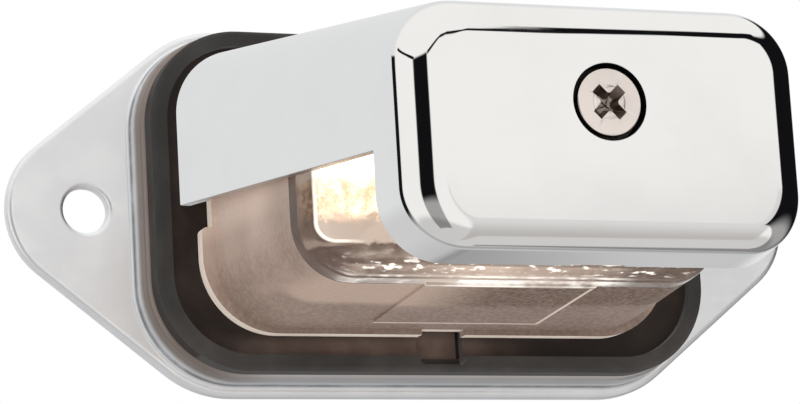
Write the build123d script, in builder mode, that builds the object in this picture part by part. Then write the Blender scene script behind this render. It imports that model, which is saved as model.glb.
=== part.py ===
"""Number plate lamp: eared plate, gasket, clear lens over two bulbs, chromed hood on one long screw.

Millimetres. X runs along the plate, Z is up, and the mounting plane is Y = 0 with the wall at +Y.
A rise is a distance out from that plane, towards -Y. The origin is the middle of the plate's back.
"""

from build123d import *

import os
from math import radians, tan

# Lens, moulded: the hood, the gasket and the plate follow its size
lens_base_width = 65.0
lens_base_height = 36.0
lens_base_corner = 9.0
lens_side_draft = 2.7
lens_top_draft = 3.4
lens_bottom_draft = 1.9
lens_front_corner = 7.5
lens_front_round = 3.5
lens_wall = 2.0
lens_notch_width = 6.4
lens_notch_height = 0.8
flange_thickness = 1.9
flange_side_reach = 1.9
flange_end_reach = 0.75
flange_step = 1.5
flange_step_level = -4.2
flange_step_round = 0.8
flange_corner = 10.5
pad_width = 24.4
pad_thickness = 0.3
pad_setback = 4.5
pad_front_margin = 0.6
column_diameter = 9.0

# Hood, die cast, with its gaps to the lens at the rear and at the lens's front
hood_projection = 70.4
hood_wall = 1.6
hood_front_wall = 2.6
hood_side_gap = 2.65
hood_top_gap = 1.6
hood_bottom_gap = 2.4
hood_front_side_gap = 0.14
hood_front_top_gap = 0.68
hood_bottom_slope = 3.7
hood_rear_corner = 9.5
hood_front_corner = 8.0
hood_front_round = 3.0
window_rear_level = -0.9
window_front_level = -4.8
window_corner = 0.9
apron_depth = 9.8
gate_width = 7.2
gate_depth = 0.5
gate_offset = 1.2
boss_root_diameter = 14.0
boss_tip_diameter = 10.0
pocket_depth = 2.6
pocket_gap = 0.6

# Gasket, with its gaps to the hood inside the rim
gasket_side_gap = 1.65
gasket_top_gap = 0.35
gasket_corner = 13.0
gasket_floor = 2.0
gasket_rim_height = 1.3
gasket_rim_width = 2.2
gasket_rim_round = 0.7
gasket_lip = 0.4
gasket_opening_corner = 7.0
drain_width = 6.8
drain_floor = 0.8
drain_corner = 0.8
drain_rim_left = 1.0

# Plate, pressed from sheet, with plunged holes in its ears
sheet = 1.0
ear_offset = 7.025
ear_radius = 11.1
hole_diameter = 6.4
hole_edge_round = 0.7
plate_rise = 1.9
plate_edge_round = 0.8
plate_land = 0.1
step_rise = 7.6
step_ledge = 0.35
step_draft = 5.0
step_round = 1.2
step_foot_round = 0.4

# Screw, post and lens seal
screw_diameter = 4.17
screw_end_gap = 4.2
screw_clearance = 0.3
thread_clearance = 0.03
head_diameter = 8.7
head_height = 2.5
head_edge_round = 1.1
recess_span = 4.9
recess_slot = 1.35
recess_depth = 1.7
recess_turn = 45.0
seal_thickness = 1.0
post_diameter = 8.0
post_height = 16.0
post_shank_diameter = 5.4
post_stake_diameter = 7.4
post_stake_height = 0.9
post_gap = 0.05
column_gap = 0.2
tip_chamfer = 0.6

# Sockets
socket_spread = 17.0
socket_neck_diameter = 14.0
socket_neck_height = 9.4
socket_flange_diameter = 19.0
socket_flange_thickness = 1.4
socket_rear_diameter = 13.0
socket_rear_rise = 1.0
socket_seal_thickness = 1.0
socket_hole_gap = 0.3
lug_reach = 1.6
lug_width = 4.0
lug_thickness = 1.3
lug_gap = 0.05
lock_turn = 70.0
contact_width = 3.0
contact_thickness = 0.4
contact_flare = 0.7
contact_flare_length = 1.7
contact_setback = 0.8
contact_gap = 0.1
slot_gap = 0.2
socket_edge = 0.6

# Bulbs with a flat glass wedge for a base
bulb_diameter = 10.2
bulb_length = 26.8
bulb_glass = 0.6
bulb_clearance = 4.3
wedge_width = 9.6
wedge_thickness = 2.5
wedge_length = 9.6
neck_length = 2.6
wedge_edge = 0.5
lead_diameter = 0.45
lead_offset = 2.4
lead_bend = 0.6
lead_fold_length = 5.0
lead_gap = 0.02
filament_diameter = 0.5
filament_height = 19.0
filament_bow = 1.2
filament_gap = 0.24

# Rises where the pieces seat on each other
gasket_seat = step_rise
lens_seat = gasket_seat + gasket_floor
flange_front = lens_seat + flange_thickness
post_front = step_rise + post_height
socket_flange_front = step_rise - sheet - socket_seal_thickness
socket_flange_rear = socket_flange_front - socket_flange_thickness
socket_front = step_rise + socket_neck_height
bulb_base = socket_front - wedge_length
bulb_neck = socket_front + neck_length
bulb_tip = bulb_base + bulb_length
filament_rise = bulb_base + filament_height
slot_end = bulb_base - lead_bend - lead_diameter - slot_gap
cavity_front = bulb_tip + bulb_clearance
lens_front = cavity_front + lens_wall
boss_tip = lens_front + seal_thickness
hood_inner_front = hood_projection - hood_front_wall
head_seat = hood_projection - pocket_depth
apron_rear = hood_projection - apron_depth

# Sizes that follow from the pieces inside
flange_width = lens_base_width + 2 * flange_side_reach
flange_narrow_width = flange_width - 2 * flange_step
flange_height = lens_base_height + 2 * flange_end_reach
lens_front_width = lens_base_width - 2 * lens_side_draft
lens_front_top = lens_base_height / 2 - lens_top_draft
lens_front_bottom = lens_bottom_draft - lens_base_height / 2
hood_rear_width = lens_base_width + 2 * (hood_side_gap + hood_wall)
hood_rear_top = lens_base_height / 2 + hood_top_gap + hood_wall
hood_rear_bottom = -(lens_base_height / 2 + hood_bottom_gap + hood_wall)
hood_width_over_lens = lens_front_width + 2 * (hood_front_side_gap + hood_wall)
hood_top_over_lens = lens_front_top + hood_front_top_gap + hood_wall
hood_reach = (hood_projection - lens_seat) / (lens_front - lens_seat)
hood_front_width = hood_rear_width + (hood_width_over_lens - hood_rear_width) * hood_reach
hood_front_top = hood_rear_top + (hood_top_over_lens - hood_rear_top) * hood_reach
hood_front_bottom = hood_rear_bottom + hood_bottom_slope
gasket_width = hood_rear_width + 2 * (gasket_side_gap + gasket_rim_width)
gasket_height = 2 * (hood_rear_top + gasket_top_gap + gasket_rim_width)
gasket_opening_width = lens_base_width - 2 * (lens_wall + gasket_lip)
gasket_opening_height = lens_base_height - 2 * (lens_wall + gasket_lip)
hole_spacing = gasket_width + 2 * ear_offset
plate_margin = plate_edge_round + plate_land + step_foot_round
step_spread = step_ledge + (step_rise - plate_rise) * tan(radians(step_draft))
screw_length = head_seat - step_rise - screw_end_gap
screw_hole_diameter = screw_diameter + 2 * screw_clearance
pocket_diameter = head_diameter + 2 * pocket_gap
socket_hole_diameter = socket_neck_diameter + 2 * socket_hole_gap
bulb_radius = bulb_diameter / 2
lead_face = wedge_thickness / 2 + lead_gap + lead_diameter / 2
contact_face = lead_face + lead_diameter / 2 + lead_gap

os.makedirs("parts", exist_ok=True)


def facing(rise, x=0.0):
    """A plane that looks out from the wall, at a rise and at a place along the plate."""
    return Plane(origin=(x, -rise, 0), x_dir=(1, 0, 0), z_dir=(0, -1, 0))


def upright(width, bottom, top, corner):
    """Rounded rectangle between two levels, centred along the plate."""
    with Locations((0, (bottom + top) / 2)):
        RectangleRounded(width, top - bottom, corner)


def taper(rear, front, rear_rise, front_rise, rise):
    """Size at a rise, on a straight taper between two others."""
    return rear + (front - rear) * (rise - rear_rise) / (front_rise - rear_rise)


def eared_outline(inset):
    """Four body corners and two ears with tangent lines round them, moved in by the sheet."""
    with GridLocations(gasket_width - 2 * gasket_corner, gasket_height - 2 * gasket_corner, 2, 2):
        Circle(gasket_corner + step_spread + plate_margin - inset)
    with GridLocations(hole_spacing, 0, 2, 1):
        Circle(ear_radius - inset)
    make_hull()


def keyed_hole():
    """Round hole with two notches that let the socket's lugs through."""
    Circle(socket_hole_diameter / 2)
    Rectangle(
        socket_hole_diameter + 2 * lug_reach,
        lug_width + 2 * socket_hole_gap,
    )


# Base plate: a shallow pressing, hollow at the back, with a raised step under the gasket
# and a collar behind each ear's hole that reaches the mounting plane


def step_foot(inset):
    """Foot of the raised step, moved in by the sheet for its hollow side."""
    grow = step_spread - inset
    RectangleRounded(gasket_width + 2 * grow, gasket_height + 2 * grow, gasket_corner + grow)


with BuildPart() as base_plate:
    with BuildSketch(facing(0)):
        eared_outline(0)
    extrude(amount=plate_rise)
    fillet(base_plate.edges().group_by(Axis.Y)[0], plate_edge_round)
    with BuildSketch(facing(plate_rise)):
        step_foot(0)
    extrude(amount=step_rise - plate_rise, taper=step_draft)
    fillet(base_plate.edges(Select.LAST).group_by(Axis.Y)[-1], step_foot_round)
    fillet(base_plate.edges().group_by(Axis.Y)[0], step_round)
    with BuildSketch(facing(0)):
        eared_outline(sheet)
    extrude(amount=plate_rise - sheet, mode=Mode.SUBTRACT)
    with BuildSketch(facing(plate_rise - sheet)):
        step_foot(sheet)
    extrude(amount=step_rise - plate_rise, taper=step_draft, mode=Mode.SUBTRACT)
    with BuildSketch(facing(step_rise)):
        with GridLocations(2 * socket_spread, 0, 2, 1):
            keyed_hole()
        Circle(post_shank_diameter / 2 + post_gap)
    extrude(amount=-2 * sheet, mode=Mode.SUBTRACT)
    with BuildSketch(facing(0)):
        with GridLocations(hole_spacing, 0, 2, 1):
            Circle(hole_diameter / 2 + sheet)
    extrude(amount=plate_rise)
    with BuildSketch(facing(plate_rise)):
        with GridLocations(hole_spacing, 0, 2, 1):
            Circle(hole_diameter / 2)
    extrude(amount=-plate_rise, mode=Mode.SUBTRACT)
    fillet(base_plate.edges(Select.LAST).group_by(Axis.Y)[0], hole_edge_round)
base_plate.part.label = "base_plate"
export_step(base_plate.part, "parts/base_plate.step")

# Gasket: a flat frame with a raised rim, and a drain slot at the bottom
rim_inner_width = gasket_width - 2 * gasket_rim_width
rim_inner_height = gasket_height - 2 * gasket_rim_width
rim_inner_corner = gasket_corner - gasket_rim_width
drain_bottom = -gasket_height / 2 + drain_rim_left

with BuildPart() as gasket:
    with BuildSketch(facing(gasket_seat)):
        RectangleRounded(gasket_width, gasket_height, gasket_corner)
    extrude(amount=gasket_floor + gasket_rim_height)
    fillet(gasket.edges().group_by(Axis.Y)[0], gasket_rim_round)
    with BuildSketch(facing(lens_seat)):
        RectangleRounded(rim_inner_width, rim_inner_height, rim_inner_corner)
    extrude(amount=gasket_rim_height, mode=Mode.SUBTRACT)
    with BuildSketch(facing(gasket_seat)):
        RectangleRounded(gasket_opening_width, gasket_opening_height, gasket_opening_corner)
    extrude(amount=gasket_floor, mode=Mode.SUBTRACT)
    with BuildSketch(facing(gasket_seat + drain_floor)):
        upright(drain_width, drain_bottom, -gasket_opening_height / 2, drain_corner)
    extrude(amount=gasket_floor + gasket_rim_height, mode=Mode.SUBTRACT)
gasket.part.label = "gasket"
export_step(gasket.part, "parts/gasket.step")

# Lens: a drafted tub on a stepped flange, with a column for the screw


def lens_section(rise, inset):
    """Outline of the lens at a rise, moved in by a wall."""
    span = (flange_front, lens_front, rise)
    half = lens_base_height / 2
    upright(
        taper(lens_base_width, lens_front_width, *span) - 2 * inset,
        taper(-half, lens_front_bottom, *span) + inset,
        taper(half, lens_front_top, *span) - inset,
        taper(lens_base_corner, lens_front_corner, *span) - inset,
    )


def lens_bottom(rise):
    """Level of the lens's underside at a rise."""
    return taper(-lens_base_height / 2, lens_front_bottom, flange_front, lens_front, rise)


with BuildPart() as lens_cavity:
    with BuildSketch(facing(lens_seat)):
        lens_section(lens_seat, lens_wall)
    with BuildSketch(facing(cavity_front)):
        lens_section(cavity_front, lens_wall)
    loft()
    fillet(lens_cavity.edges().group_by(Axis.Y)[0], lens_front_round - lens_wall)

with BuildPart() as lens:
    with BuildSketch(facing(flange_front)):
        lens_section(flange_front, 0)
    with BuildSketch(facing(lens_front)):
        lens_section(lens_front, 0)
    loft()
    fillet(lens.edges().group_by(Axis.Y)[0], lens_front_round)
    with BuildSketch(facing(lens_seat)) as flange_outline:
        upright(flange_width, -flange_height / 2, flange_height / 2, flange_corner)
        with Locations((0, flange_step_level)):
            Rectangle(flange_width, flange_height, align=(Align.CENTER, Align.MIN), mode=Mode.SUBTRACT)
        upright(flange_narrow_width, -flange_height / 2, flange_height / 2, flange_corner)
        for side in (0, -1):
            step_corner = flange_outline.vertices().group_by(Axis.X)[side].sort_by(Axis.Y)[-1]
            fillet(step_corner, flange_step_round)
        with Locations((0, -flange_height / 2)):
            Rectangle(lens_notch_width, 2 * lens_notch_height, mode=Mode.SUBTRACT)
    extrude(amount=flange_thickness)
    add(lens_cavity.part, mode=Mode.SUBTRACT)
    with BuildSketch(facing(cavity_front)):
        Circle(column_diameter / 2)
    extrude(amount=-(cavity_front - post_front - column_gap))
    with BuildSketch(facing(lens_front)):
        Circle(screw_hole_diameter / 2)
    extrude(amount=lens_seat - lens_front, mode=Mode.SUBTRACT)
    pad_rear = flange_front + pad_setback
    pad_front = lens_front - lens_front_round - pad_front_margin
    with BuildSketch(Plane.YZ):
        with BuildLine():
            Polyline(
                (-pad_rear, lens_bottom(pad_rear) + lens_wall / 2),
                (-pad_rear, lens_bottom(pad_rear) - pad_thickness),
                (-pad_front, lens_bottom(pad_front) - pad_thickness),
                (-pad_front, lens_bottom(pad_front) + lens_wall / 2),
                close=True,
            )
        make_face()
    extrude(amount=pad_width / 2, both=True)
lens.part.label = "lens"
export_step(lens.part, "parts/lens.step")

# Hood: a tapered casting, open at the rear, with the lower sides and floor cut away behind the apron


def hood_section(rise, inset):
    """Outline of the hood at a rise, moved in by a wall."""
    span = (lens_seat, hood_projection, rise)
    upright(
        taper(hood_rear_width, hood_front_width, *span) - 2 * inset,
        taper(hood_rear_bottom, hood_front_bottom, *span) + inset,
        taper(hood_rear_top, hood_front_top, *span) - inset,
        taper(hood_rear_corner, hood_front_corner, *span) - inset,
    )


apron_bottom = taper(hood_rear_bottom, hood_front_bottom, lens_seat, hood_projection, apron_rear)

with BuildPart() as hood:
    with BuildSketch(facing(lens_seat)):
        hood_section(lens_seat, 0)
    with BuildSketch(facing(hood_projection)):
        hood_section(hood_projection, 0)
    loft()
    fillet(hood.edges().group_by(Axis.Y)[0], hood_front_round)
    with BuildSketch(facing(lens_seat)):
        hood_section(lens_seat, hood_wall)
    with BuildSketch(facing(hood_inner_front)):
        hood_section(hood_inner_front, hood_wall)
    loft(mode=Mode.SUBTRACT)
    with BuildSketch(Plane.YZ) as side_profile:
        with BuildLine():
            Polyline(
                (-lens_seat, window_rear_level),
                (-apron_rear, window_front_level),
                (-apron_rear, hood_rear_bottom),
                (-hood_projection, hood_rear_bottom),
                (-hood_projection, hood_rear_top),
                (-lens_seat, hood_rear_top),
                close=True,
            )
        make_face()
        rear_corner = side_profile.vertices().group_by(Axis.X)[-1].sort_by(Axis.Y)[0]
        fillet(rear_corner, window_corner)
    extrude(amount=hood_rear_width, both=True, mode=Mode.INTERSECT)
    with BuildSketch(facing(boss_tip)):
        Circle(boss_tip_diameter / 2)
    with BuildSketch(facing(hood_inner_front)):
        Circle(boss_root_diameter / 2)
    loft()
    with Locations(facing(hood_projection)):
        CounterBoreHole(screw_hole_diameter / 2, pocket_diameter / 2, pocket_depth)
    with BuildSketch(facing(apron_rear)):
        with Locations((gate_offset, apron_bottom)):
            Rectangle(gate_width, 2 * hood_wall)
    extrude(amount=gate_depth, mode=Mode.SUBTRACT)
hood.part.label = "hood"
export_step(hood.part, "parts/hood.step")

# Hood screw: pan head with a cross recess, plain shank
with BuildPart() as hood_screw:
    with BuildSketch(facing(head_seat)):
        Circle(head_diameter / 2)
    extrude(amount=head_height)
    fillet(hood_screw.edges().group_by(Axis.Y)[0], head_edge_round)
    with BuildSketch(facing(head_seat)):
        Circle(screw_diameter / 2)
    extrude(amount=-screw_length)
    chamfer(hood_screw.edges().group_by(Axis.Y)[-1], tip_chamfer)
    with BuildSketch(facing(head_seat + head_height)):
        Rectangle(recess_span, recess_slot, rotation=recess_turn)
        Rectangle(recess_slot, recess_span, rotation=recess_turn)
    extrude(amount=-recess_depth, mode=Mode.SUBTRACT)
hood_screw.part.label = "hood_screw"
export_step(hood_screw.part, "parts/hood_screw.step")

# Threaded post: staked through the plate, tapped for the hood screw
with BuildPart() as threaded_post:
    with BuildSketch(facing(step_rise)):
        Circle(post_diameter / 2)
    extrude(amount=post_height)
    with BuildSketch(facing(step_rise)):
        Circle(post_shank_diameter / 2)
    extrude(amount=-sheet)
    with BuildSketch(facing(step_rise - sheet)):
        Circle(post_stake_diameter / 2)
    extrude(amount=-post_stake_height)
    with BuildSketch(facing(post_front)):
        Circle(screw_diameter / 2 + thread_clearance)
    extrude(amount=-post_height, mode=Mode.SUBTRACT)
threaded_post.part.label = "threaded_post"
export_step(threaded_post.part, "parts/threaded_post.step")

# Lens seal: a rubber washer between the hood's boss and the lens
with BuildPart() as lens_seal:
    with BuildSketch(facing(lens_front)):
        Circle(boss_tip_diameter / 2)
        Circle(screw_hole_diameter / 2, mode=Mode.SUBTRACT)
    extrude(amount=seal_thickness)
lens_seal.part.label = "lens_seal"
export_step(lens_seal.part, "parts/lens_seal.step")

# A socket, its seal, its contacts and a bulb on each side of the post
channel_depth = contact_face + contact_thickness + contact_flare + contact_gap
contact_front = socket_front - contact_setback
flare_start = contact_front - contact_flare_length
fold_rise = bulb_base - lead_bend - lead_gap
leads = (("upper", -lead_offset, 1), ("lower", lead_offset, -1))


def contact_channels():
    """Two channels, one above the wedge and one below it, each beside a lead."""
    for _, across, way in leads:
        with Locations((across, way * channel_depth / 2)):
            Rectangle(contact_width + 2 * contact_gap, channel_depth)


for side, x in (("left", -socket_spread), ("right", socket_spread)):
    with BuildPart() as socket:
        with BuildSketch(facing(socket_rear_rise, x)):
            Circle(socket_rear_diameter / 2)
        extrude(amount=socket_flange_rear - socket_rear_rise)
        with BuildSketch(facing(socket_flange_rear, x)):
            Circle(socket_flange_diameter / 2)
        extrude(amount=socket_flange_thickness)
        with BuildSketch(facing(socket_flange_front, x)):
            Circle(socket_neck_diameter / 2)
        extrude(amount=socket_front - socket_flange_front)
        chamfer(socket.edges().group_by(Axis.Y)[0], socket_edge)
        with BuildSketch(facing(step_rise + lug_gap, x)):
            Rectangle(socket_neck_diameter + 2 * lug_reach, lug_width, rotation=lock_turn)
        extrude(amount=lug_thickness)
        with BuildSketch(facing(socket_front, x)):
            Rectangle(wedge_width + 2 * slot_gap, wedge_thickness + 2 * slot_gap)
        extrude(amount=-(socket_front - slot_end), mode=Mode.SUBTRACT)
        with BuildSketch(facing(socket_front, x)):
            contact_channels()
        extrude(amount=-(socket_front - socket_rear_rise), mode=Mode.SUBTRACT)
    socket.part.label = f"socket_{side}"
    export_step(socket.part, f"parts/socket_{side}.step")

    with BuildPart() as socket_seal:
        with BuildSketch(facing(socket_flange_front, x)):
            Circle(socket_flange_diameter / 2)
            Circle(socket_hole_diameter / 2, mode=Mode.SUBTRACT)
        extrude(amount=socket_seal_thickness)
    socket_seal.part.label = f"socket_{side}_seal"
    export_step(socket_seal.part, f"parts/socket_{side}_seal.step")

    with BuildPart() as glass:
        with BuildSketch(Plane.XY):
            with BuildLine():
                Line((x, -bulb_neck), (x + bulb_radius, -bulb_neck))
                Line((x + bulb_radius, -bulb_neck), (x + bulb_radius, -bulb_tip + bulb_radius))
                RadiusArc((x + bulb_radius, -bulb_tip + bulb_radius), (x, -bulb_tip), bulb_radius)
                Line((x, -bulb_tip), (x, -bulb_neck))
            make_face()
        revolve(axis=Axis((x, 0, 0), (0, 1, 0)))
        with BuildSketch(facing(socket_front, x)):
            RectangleRounded(wedge_width, wedge_thickness, wedge_edge)
        with BuildSketch(facing(bulb_neck, x)):
            Circle(bulb_radius)
        loft()
        with BuildSketch(facing(bulb_base, x)):
            RectangleRounded(wedge_width, wedge_thickness, wedge_edge)
        extrude(amount=wedge_length)
        inner_radius = bulb_radius - bulb_glass
        with BuildSketch(Plane.XY):
            with BuildLine():
                Line((x, -bulb_neck), (x + inner_radius, -bulb_neck))
                Line((x + inner_radius, -bulb_neck), (x + inner_radius, -bulb_tip + bulb_radius))
                RadiusArc(
                    (x + inner_radius, -bulb_tip + bulb_radius),
                    (x, -bulb_tip + bulb_glass),
                    inner_radius,
                )
                Line((x, -bulb_tip + bulb_glass), (x, -bulb_neck))
            make_face()
        revolve(axis=Axis((x, 0, 0), (0, 1, 0)), mode=Mode.SUBTRACT)
        with BuildSketch(facing(bulb_base, x)):
            with GridLocations(2 * lead_offset, 0, 2, 1):
                Circle(lead_diameter / 2 + lead_gap)
        extrude(amount=wedge_length + neck_length, mode=Mode.SUBTRACT)
    glass.part.label = f"bulb_{side}_glass"
    export_step(glass.part, f"parts/bulb_{side}_glass.step")

    for level, across, way in leads:
        with BuildPart() as contact:
            with BuildSketch(Plane.YZ.offset(x + across)):
                with BuildLine():
                    Polyline(
                        (-socket_rear_rise, way * contact_face),
                        (-flare_start, way * contact_face),
                        (-contact_front, way * (contact_face + contact_flare)),
                        (-contact_front, way * (contact_face + contact_flare + contact_thickness)),
                        (-flare_start, way * (contact_face + contact_thickness)),
                        (-socket_rear_rise, way * (contact_face + contact_thickness)),
                        close=True,
                    )
                make_face()
            extrude(amount=contact_width / 2, both=True)
        contact.part.label = f"socket_{side}_contact_{level}"
        export_step(contact.part, f"parts/socket_{side}_contact_{level}.step")

        with BuildPart() as lead:
            with BuildLine(Plane.YZ.offset(x + across)) as lead_path:
                FilletPolyline(
                    (-filament_rise, 0),
                    (-fold_rise, 0),
                    (-fold_rise, way * lead_face),
                    (-bulb_base - lead_fold_length, way * lead_face),
                    radius=lead_bend,
                )
            with BuildSketch(facing(filament_rise, x + across)):
                Circle(lead_diameter / 2)
            sweep()
        lead.part.label = f"bulb_{side}_lead_{level}"
        export_step(lead.part, f"parts/bulb_{side}_lead_{level}.step")

    filament_reach = lead_offset - lead_diameter / 2 - filament_gap
    filament_level = filament_rise - filament_diameter
    with BuildPart() as filament:
        with BuildLine(Plane.XY) as filament_path:
            ThreePointArc(
                (x - filament_reach, -filament_level),
                (x, -filament_level - filament_bow),
                (x + filament_reach, -filament_level),
            )
        with BuildSketch(Plane(filament_path.line @ 0, z_dir=filament_path.line % 0)):
            Circle(filament_diameter / 2)
        sweep()
    filament.part.label = f"bulb_{side}_filament"
    export_step(filament.part, f"parts/bulb_{side}_filament.step")
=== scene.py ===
from math import cos, pi, radians, sin

import bmesh
import bpy
from mathutils import Matrix, Vector


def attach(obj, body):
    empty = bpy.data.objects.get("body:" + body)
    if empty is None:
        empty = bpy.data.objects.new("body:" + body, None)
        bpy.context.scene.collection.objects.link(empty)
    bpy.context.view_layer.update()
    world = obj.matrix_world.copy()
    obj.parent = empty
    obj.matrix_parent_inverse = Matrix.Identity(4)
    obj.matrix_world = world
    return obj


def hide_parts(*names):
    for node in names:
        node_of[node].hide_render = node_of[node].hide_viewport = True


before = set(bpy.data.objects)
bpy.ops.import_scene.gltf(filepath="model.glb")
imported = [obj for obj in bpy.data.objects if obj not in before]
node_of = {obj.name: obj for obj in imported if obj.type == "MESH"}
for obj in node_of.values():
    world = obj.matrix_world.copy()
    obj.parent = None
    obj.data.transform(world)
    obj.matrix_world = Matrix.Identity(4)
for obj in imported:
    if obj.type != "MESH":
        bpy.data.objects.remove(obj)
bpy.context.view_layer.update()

MM = 0.001

# Sizes are in millimetres. A rise is a distance forward from the mounting plane, and a level is a height from
# the lamp's middle. An outline is a width, a lowest level, a highest level and a corner radius.
HOOD_REAR = 9.6
HOOD_FRONT = 70.4
HOOD_INSIDE = 67.8
HOOD_WALL = 1.6
HOOD_REAR_OUTLINE = (73.5, -22.0, 21.2, 9.5)
HOOD_FRONT_OUTLINE = (53.0, -18.3, 12.7, 8.0)
HOOD_TOP_ROUND = 4.5
HOOD_SIDE_ROUND = 4.3
HOOD_LOW_ROUND = 3.2
HOOD_ROUND_STEPS = 22
HOOD_EDGE = 0.22
WINDOW_REAR_LEVEL = -0.9
WINDOW_FRONT_LEVEL = -4.8
APRON_REAR = 60.6
GATE_WIDTH = 7.2
GATE_DEPTH = 0.5
GATE_HEIGHT = 8.0
GATE_OFFSET = 1.2
GATE_LEVEL = -19.0
POCKET_RADIUS = 4.95
POCKET_EDGE = 0.1
POCKET_EDGE_MIDDLE = 0.03
SCREW_HOLE_RADIUS = 2.385
BOSS_TIP = 41.5
BOSS_TIP_RADIUS = 5.0
BOSS_ROOT_RADIUS = 7.0

SCREW_END = 11.8
SCREW_RADIUS = 2.085
SCREW_EDGE = 0.08
TIP_CHAMFER = 0.5
TIP_LENGTH = 0.8
HEAD_RADIUS = 4.35
HEAD_FRONT = 70.3
HEAD_REAR_EDGE = 0.1
POLE_RADIUS = 0.02

# The rounding of the head's front edge, as distances inward and back, and the fine circle on the head, as
# radii and depths.
HEAD_FRONT_EDGE = ((0.0, 0.24), (0.03, 0.12), (0.09, 0.04), (0.2, 0.0))
HEAD_CIRCLE = ((2.25, 0.0), (2.18, 0.04), (2.1, 0.0))

RECESS_SPAN = 5.2
RECESS_SLOT = 1.45
RECESS_DEPTH = 1.7
RECESS_TAPER = 0.5
RECESS_CORNER = 0.5
RECESS_CORNER_STEPS = 5
RECESS_CLEAR = 0.2

FLANGE_FRONT = 11.5
LENS_CLEAR_FROM = 35.4
HOLLOW_HALF_WIDTH = 28.5
HOLLOW_DEPTH = 12.0
HOLLOW_CORNER = 2.6
BULB_ACROSS = 20.0
PAD_HALF_WIDTH = 12.2
PAD_REAR = 16.0
PAD_FRONT = 36.4
DRAIN_HALF_WIDTH = 3.4

# How near to a plane a corner of a piece counts as lying in it, how near corners are merged, how far a loop
# is lifted out of its plane while it is bridged, and how far past a radius a loop is still looked for.
NEAR = 0.0005
MERGE = 0.00002
LENS_MERGE = 0.001
LIFT = 0.913
MARGIN = 1.0

# A face looks straight forward or back when that part of its normal is more than STRAIGHT, and sideways when
# it is less than SIDEWAYS. The angles are in degrees: edges sharper than SHARP_ANGLE are broken, and faces
# that meet at less than a smooth angle are shaded as one.
STRAIGHT = 0.99999
SIDEWAYS = 0.5
SHARP_ANGLE = 50
SMOOTH_ANGLE = 40
LENS_SMOOTH_ANGLE = 30

# The camera's place in metres, its angles in degrees, and its lens in millimetres.
CAMERA_PLACE = (-0.18404, -0.46002, -0.10137)
CAMERA_YAW = 21.7248
CAMERA_PITCH = 11.8471
CAMERA_ROLL = -3.3308
CAMERA_LENS = 160.21
CAMERA_SENSOR = 36.0
CAMERA_NEAREST = 0.01

# The studio's lamps and floor, in metres.
LAMP_AIM = (0, -0.03, 0)
LAMP_SIZE = 0.8
FLOOR_SIZE = 12.0
FLOOR_LEVEL = -0.5

# The studio is drawn by angles in degrees, round the lamp to the right and up from level. LOW_SHADE is how
# dark its side openings are below the lamp's own level, where 1 is black.
LOW_SHADE = 0.6
CURVE_LEFT = -25.0
CURVE_RIGHT = 75.0
CURVE_TOP = 60.0
TOP_GAP_PATH = (
    (-25, 20), (-15, 24), (3, 31), (12, 29), (17, 25), (22, 20), (25, 23), (29, 32), (36, 36), (75, 36),
)
TOP_GAP_REACH = ((-25, 2), (17, 2), (23, 2.5), (26, 3), (30, 4.5), (36, 6), (75, 7))


def point(across, rise, level):
    """A place in metres, from millimetres across, forward and up."""
    return Vector((across, -rise, level)) * MM


def middle(element):
    """The middle of a vertex, edge or face, in millimetres across, forward and up."""
    corners = [element] if isinstance(element, bmesh.types.BMVert) else element.verts
    place = sum((corner.co for corner in corners), Vector()) / len(corners)
    return Vector((place.x, -place.y, place.z)) / MM


def from_axis(element):
    """How far the middle of a vertex, edge or face lies from the screw's axis, in millimetres."""
    return middle(element).xz.length


def choose(kind, wanted):
    """Selects what passes the test among the verts, edges or faces of the piece in edit mode."""
    bpy.ops.mesh.select_mode(type={"verts": "VERT", "edges": "EDGE", "faces": "FACE"}[kind])
    bpy.ops.mesh.select_all(action="DESELECT")
    mesh = bmesh.from_edit_mesh(bpy.context.object.data)
    for element in getattr(mesh, kind):
        if not element.hide and wanted(element):
            element.select_set(True)
    mesh.select_flush_mode()
    bmesh.update_edit_mesh(bpy.context.object.data)


def at_rise(rise):
    """A test for what lies in the upright plane at that rise."""
    return lambda element: abs(middle(element).y - rise) < NEAR


def open_at(rise):
    """A test for open edges in the upright plane at that rise."""
    return lambda edge: edge.is_boundary and at_rise(rise)(edge)


def edit():
    """Goes into edit mode."""
    bpy.ops.object.mode_set(mode="EDIT")


def leave_edit():
    """Goes back to object mode."""
    bpy.ops.object.mode_set(mode="OBJECT")


def select_all():
    """Selects all of the piece in edit mode that isn't hidden."""
    bpy.ops.mesh.select_all(action="SELECT")


def start_piece(name, *finishes):
    """An empty mesh at the origin, in edit mode, with its finishes in their slots."""
    bpy.ops.object.select_all(action="DESELECT")
    bpy.ops.object.add(type="MESH", location=(0, 0, 0))
    piece = bpy.context.object
    piece.name = name
    piece.data.name = name
    for finish in finishes:
        piece.data.materials.append(finish)
    edit()
    return piece


def give_finish(piece, number):
    """Puts one of the piece's finishes on the selected faces."""
    piece.active_material_index = number
    bpy.ops.object.material_slot_assign()


def outline(width, low, high, corner, rise, steps=24):
    """A rounded rectangle standing across the lamp, as a selected edge loop."""
    place = point(0, rise, (low + high) / 2)
    bpy.ops.mesh.primitive_plane_add(size=1, location=place, rotation=(pi / 2, 0, 0))
    bpy.ops.transform.resize(value=(width * MM, 1, (high - low) * MM), center_override=place)
    bpy.ops.mesh.bevel(offset=corner * MM, segments=steps, affect="VERTICES")
    bpy.ops.mesh.delete(type="ONLY_FACE")


def hood_outline(rise):
    """The hood's outer outline at that rise."""
    share = (rise - HOOD_REAR) / (HOOD_FRONT - HOOD_REAR)
    return [rear + (front - rear) * share for rear, front in zip(HOOD_REAR_OUTLINE, HOOD_FRONT_OUTLINE)]


def inside(shape, wall):
    """The outline that lies one wall inside another."""
    width, low, high, corner = shape
    return width - 2 * wall, low + wall, high - wall, corner - wall


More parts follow.
